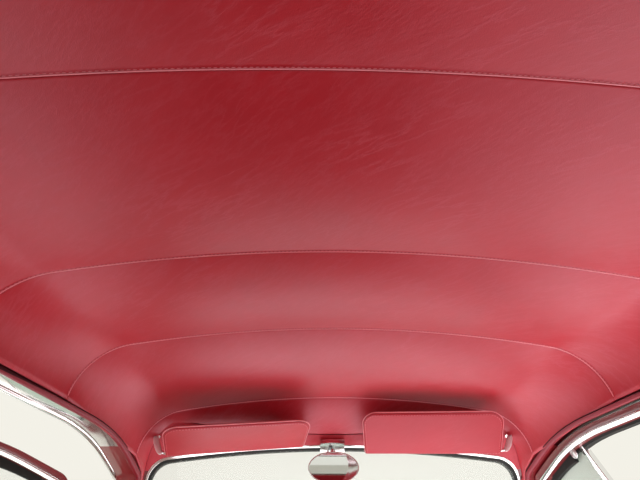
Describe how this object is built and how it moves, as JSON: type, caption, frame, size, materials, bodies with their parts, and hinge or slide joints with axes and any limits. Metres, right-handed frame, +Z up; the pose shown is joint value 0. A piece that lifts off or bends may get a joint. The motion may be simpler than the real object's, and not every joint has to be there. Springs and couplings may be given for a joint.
{
  "type": "lined car roof section",
  "caption": "Roof section of a closed car with sewn headlining, windscreen, rear and quarter windows, hinged door tops, tilting sun visors and an adjustable mirror.",
  "frame": {"origin": "on the cut plane through the pillars, 300 mm straight below the middle of the windscreen header's inner edge", "axes": "+X to the car's right, +Y to the car's front, +Z up"},
  "size_m": [2.2695, 2.4693, 0.5308],
  "materials": {
    "body_paint": "gloss",
    "door_paint": "gloss",
    "hinge_steel": "satin",
    "bright_trim": "polished",
    "glass": "clear",
    "rubber": "matte",
    "lining": "grained, satin",
    "windlace": "satin",
    "inner_trim": "satin",
    "visor_cover": "grained, satin",
    "mirror_face": "polished"
  },
  "bodies": {
    "roof": {"roof_panel": "body_paint", "windscreen_frame": "body_paint", "rear_panel": "body_paint", "left_body_side": "body_paint", "right_body_side": "body_paint", "drip_rails": "bright_trim", "windlaces": "windlace", "pillar_trims": "inner_trim", "quarter_trims": "lining", "quarter_glasses": "glass", "quarter_gaskets": "rubber", "quarter_reveals": "bright_trim", "header_lining": "lining", "header_trim": "lining", "lining_panel_1": "lining", "lining_panel_2": "lining", "lining_panel_3": "lining", "lining_panel_4": "lining", "lining_panel_5": "lining", "lining_panel_6": "lining", "rear_trim": "lining", "windscreen_glass": "glass", "windscreen_gasket": "rubber", "windscreen_garnish": "bright_trim", "rear_glass": "glass", "rear_gasket": "rubber", "rear_garnish": "bright_trim", "door_hinge_posts": "hinge_steel", "left_visor_arm": "bright_trim", "right_visor_arm": "bright_trim", "mirror_bracket": "bright_trim"},
    "left_door": {"left_door_frame": "door_paint", "left_door_reveal": "bright_trim", "left_door_seal": "rubber", "left_vent_bar": "bright_trim", "left_vent_glass": "glass", "left_door_hinge_strap": "hinge_steel"},
    "right_door": {"right_door_frame": "door_paint", "right_door_reveal": "bright_trim", "right_door_seal": "rubber", "right_vent_bar": "bright_trim", "right_vent_glass": "glass", "right_door_hinge_strap": "hinge_steel"},
    "left_visor_blade": {"left_visor": "visor_cover"},
    "right_visor_blade": {"right_visor": "visor_cover"},
    "mirror_block": {"mirror_swivel": "hinge_steel"},
    "mirror_head": {"mirror_shell": "bright_trim", "mirror_glass": "mirror_face"}
  },
  "joints": [
    {"name": "left_door_hinge", "type": "hinge", "parent": "roof", "child": "left_door", "pos_m": [-0.646, 0.095, 0], "axis": [0, 0, -1], "range_deg": [-41, 24]},
    {"name": "right_door_hinge", "type": "hinge", "parent": "roof", "child": "right_door", "pos_m": [0.646, 0.095, 0], "axis": [0, 0, 1], "range_deg": [0, 65]},
    {"name": "left_visor_tilt", "type": "hinge", "parent": "roof", "child": "left_visor_blade", "pos_m": [-0.084, -0.0525, 0.3017], "axis": [0.9831, 0.1575, 0.0934], "range_deg": [-16, 107]},
    {"name": "right_visor_tilt", "type": "hinge", "parent": "roof", "child": "right_visor_blade", "pos_m": [0.08, -0.052, 0.2854], "axis": [0.9863, -0.161, -0.0359], "range_deg": [-2, 125]},
    {"name": "mirror_turn", "type": "hinge", "parent": "roof", "child": "mirror_block", "pos_m": [-0.006, -0.018, 0.247], "axis": [0, 0, 1], "range_deg": [-25, 25]},
    {"name": "mirror_tilt", "type": "hinge", "parent": "mirror_block", "child": "mirror_head", "pos_m": [-0.006, -0.018, 0.247], "axis": [1, 0, 0], "range_deg": [-14, 9]}
  ]
}
